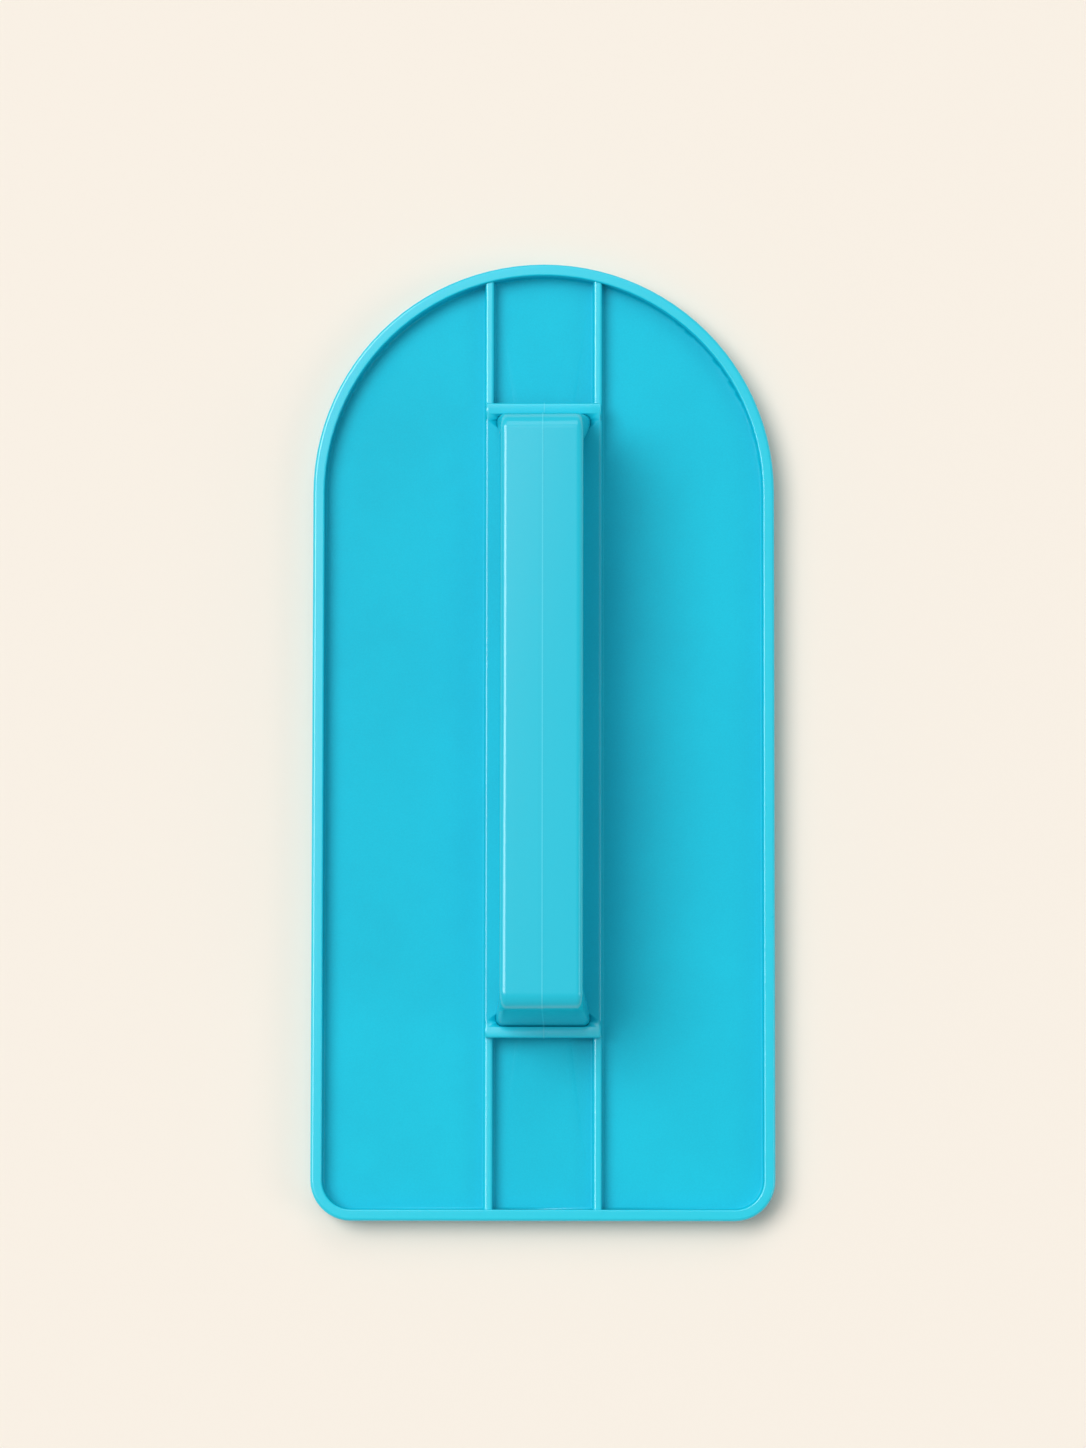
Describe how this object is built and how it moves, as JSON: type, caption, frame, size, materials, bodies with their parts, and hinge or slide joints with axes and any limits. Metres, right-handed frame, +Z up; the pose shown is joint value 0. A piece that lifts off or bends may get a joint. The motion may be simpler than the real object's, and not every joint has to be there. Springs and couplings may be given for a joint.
{
  "type": "icing smoother",
  "caption": "Flat cake icing smoother: a rimmed, ribbed plastic paddle with a rounded end, a base rail over the ribs and an arched grip.",
  "frame": {"origin": "middle of the paddle's outline, on the plane of its smooth sole", "axes": "+Z up out of the sole towards the grip, +Y along the paddle towards its rounded end, +X across it to the right"},
  "size_m": [0.08, 0.166, 0.027],
  "materials": {
    "paddle_plastic": "fine matt moulded",
    "rail_plastic": "satin moulded",
    "grip_plastic": "satin moulded"
  },
  "bodies": {
    "root": {"paddle_plate": "paddle_plastic", "base_rail": "rail_plastic", "grip": "grip_plastic"}
  },
  "joints": []
}
